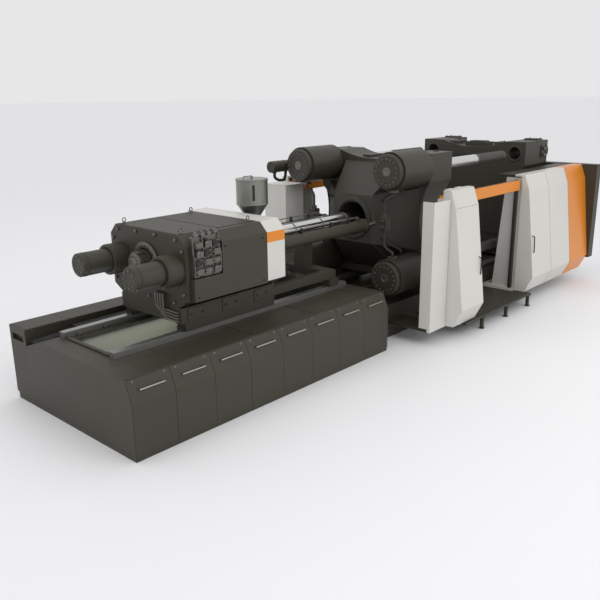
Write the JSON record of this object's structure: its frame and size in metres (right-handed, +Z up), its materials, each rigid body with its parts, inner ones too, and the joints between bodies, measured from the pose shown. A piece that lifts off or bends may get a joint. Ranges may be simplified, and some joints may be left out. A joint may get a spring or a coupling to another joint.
{
  "type": "injection moulding machine",
  "caption": "Large two-platen injection moulding machine: injection unit with hopper on a long base, tie-bar clamp, sliding guard doors and steps.",
  "frame": {"origin": "on the floor, under the centre of the bounding box", "axes": "+X from the injection end to the clamping end, +Z up, operator side at -Y"},
  "size_m": [13.24, 4.924, 3.547],
  "materials": {
    "dark_paint": "satin dark grey-olive machine paint",
    "grey_paint": "satin light grey machine paint",
    "orange_paint": "satin orange machine paint",
    "cast_dark": "painted casting",
    "chrome_bar": "ground and polished",
    "machined_steel": "machined",
    "stainless": "brushed stainless",
    "band_metal": "thin metal bands"
  },
  "bodies": {
    "frame": {"injection_base": "dark_paint", "cable_duct": "dark_paint", "carriage_rails": "machined_steel", "clamp_base": "dark_paint", "platen_ways": "machined_steel", "tie_bar_1": "chrome_bar", "tie_bar_2": "chrome_bar", "tie_bar_3": "chrome_bar", "tie_bar_4": "chrome_bar", "stationary_platen": "cast_dark", "clamp_cylinders": "cast_dark", "cylinder_caps": "cast_dark", "cylinder_valve": "dark_paint", "travel_cylinders": "dark_paint", "pull_rods": "chrome_bar", "near_end_guard": "orange_paint", "far_end_guard": "orange_paint", "end_cabinet": "dark_paint", "near_rear_frame": "grey_paint", "far_rear_frame": "grey_paint", "near_step": "dark_paint", "far_step": "dark_paint", "door_frames": "orange_paint", "near_front_guard": "grey_paint", "far_front_guard": "grey_paint"},
    "carriage": {"carriage_frame": "dark_paint", "injection_housing": "dark_paint", "side_cover": "dark_paint", "front_cover": "grey_paint", "valve_manifold": "machined_steel", "near_injection_cylinder": "dark_paint", "far_injection_cylinder": "dark_paint", "barrel": "machined_steel", "nozzle": "machined_steel", "heater_bands": "band_metal", "barrel_shield": "stainless", "feed_throat": "machined_steel", "hopper": "stainless", "pull_cylinders": "dark_paint"},
    "screw_drive": {"screw_drive": "dark_paint"},
    "screw": {"screw": "machined_steel"},
    "hopper_gate": {"hopper_gate": "machined_steel"},
    "hopper_lid": {"hopper_lid": "stainless"},
    "moving_platen": {"moving_platen": "cast_dark", "travel_rods": "chrome_bar"},
    "ejector": {"ejector": "machined_steel"},
    "near_lock_nuts": {"near_lock_nuts": "machined_steel"},
    "far_lock_nuts": {"far_lock_nuts": "machined_steel"},
    "near_front_door": {"near_front_door": "grey_paint"},
    "far_front_door": {"far_front_door": "grey_paint"},
    "near_rear_door": {"near_rear_door": "grey_paint"},
    "far_rear_door": {"far_rear_door": "grey_paint"},
    "service_cover_1": {"service_cover_1": "dark_paint"},
    "service_cover_2": {"service_cover_2": "dark_paint"},
    "service_cover_3": {"service_cover_3": "dark_paint"},
    "service_cover_4": {"service_cover_4": "dark_paint"},
    "service_cover_5": {"service_cover_5": "dark_paint"},
    "service_cover_6": {"service_cover_6": "dark_paint"},
    "service_cover_7": {"service_cover_7": "dark_paint"},
    "service_cover_8": {"service_cover_8": "dark_paint"}
  },
  "joints": [
    {"name": "carriage_travel", "type": "slide", "parent": "frame", "child": "carriage", "axis": [-1, 0, 0], "range_m": [0, 0.8]},
    {"name": "injection_stroke", "type": "slide", "parent": "carriage", "child": "screw_drive", "axis": [1, 0, 0], "range_m": [0, 0.4]},
    {"name": "screw_turn", "type": "hinge", "parent": "screw_drive", "child": "screw", "pos_m": [-1.62, 0, 2.177], "axis": [1, 0, 0], "continuous": true},
    {"name": "hopper_gate_slide", "type": "slide", "parent": "carriage", "child": "hopper_gate", "axis": [0, -1, 0], "range_m": [0, 0.165]},
    {"name": "hopper_lid_hinge", "type": "hinge", "parent": "carriage", "child": "hopper_lid", "pos_m": [-2.614, 0, 3.2], "axis": [0, 1, 0], "range_deg": [0, 100]},
    {"name": "clamp_travel", "type": "slide", "parent": "frame", "child": "moving_platen", "axis": [-1, 0, 0], "range_m": [0, 2.28]},
    {"name": "ejector_stroke", "type": "slide", "parent": "moving_platen", "child": "ejector", "axis": [-1, 0, 0], "range_m": [0, 0.28]},
    {"name": "near_nuts_close", "type": "slide", "parent": "moving_platen", "child": "near_lock_nuts", "axis": [0, 1, 0], "range_m": [0, 0.06]},
    {"name": "far_nuts_close", "type": "slide", "parent": "moving_platen", "child": "far_lock_nuts", "axis": [0, -1, 0], "range_m": [0, 0.06]},
    {"name": "near_front_door_slide", "type": "slide", "parent": "frame", "child": "near_front_door", "axis": [1, 0, 0], "range_m": [0, 0.325]},
    {"name": "near_rear_door_slide", "type": "slide", "parent": "frame", "child": "near_rear_door", "axis": [-1, 0, 0], "range_m": [0, 2.035]},
    {"name": "far_front_door_slide", "type": "slide", "parent": "frame", "child": "far_front_door", "axis": [1, 0, 0], "range_m": [0, 0.325]},
    {"name": "far_rear_door_slide", "type": "slide", "parent": "frame", "child": "far_rear_door", "axis": [-1, 0, 0], "range_m": [0, 2.035]},
    {"name": "service_cover_1_hinge", "type": "hinge", "parent": "frame", "child": "service_cover_1", "pos_m": [-6.275, -1.612, 0.06], "axis": [1, 0, 0], "range_deg": [0, 90]},
    {"name": "service_cover_2_hinge", "type": "hinge", "parent": "frame", "child": "service_cover_2", "pos_m": [-5.585, -1.612, 0.06], "axis": [1, 0, 0], "range_deg": [0, 90]},
    {"name": "service_cover_3_hinge", "type": "hinge", "parent": "frame", "child": "service_cover_3", "pos_m": [-4.895, -1.612, 0.06], "axis": [1, 0, 0], "range_deg": [0, 90]},
    {"name": "service_cover_4_hinge", "type": "hinge", "parent": "frame", "child": "service_cover_4", "pos_m": [-4.205, -1.612, 0.06], "axis": [1, 0, 0], "range_deg": [0, 90]},
    {"name": "service_cover_5_hinge", "type": "hinge", "parent": "frame", "child": "service_cover_5", "pos_m": [-3.515, -1.612, 0.06], "axis": [1, 0, 0], "range_deg": [0, 90]},
    {"name": "service_cover_6_hinge", "type": "hinge", "parent": "frame", "child": "service_cover_6", "pos_m": [-2.825, -1.612, 0.06], "axis": [1, 0, 0], "range_deg": [0, 90]},
    {"name": "service_cover_7_hinge", "type": "hinge", "parent": "frame", "child": "service_cover_7", "pos_m": [-2.135, -1.612, 0.06], "axis": [1, 0, 0], "range_deg": [0, 90]},
    {"name": "service_cover_8_hinge", "type": "hinge", "parent": "frame", "child": "service_cover_8", "pos_m": [-1.445, -1.612, 0.06], "axis": [1, 0, 0], "range_deg": [0, 90]}
  ],
  "couplings": [
    {"joint": "far_nuts_close", "follows": "near_nuts_close", "ratio": 1}
  ]
}
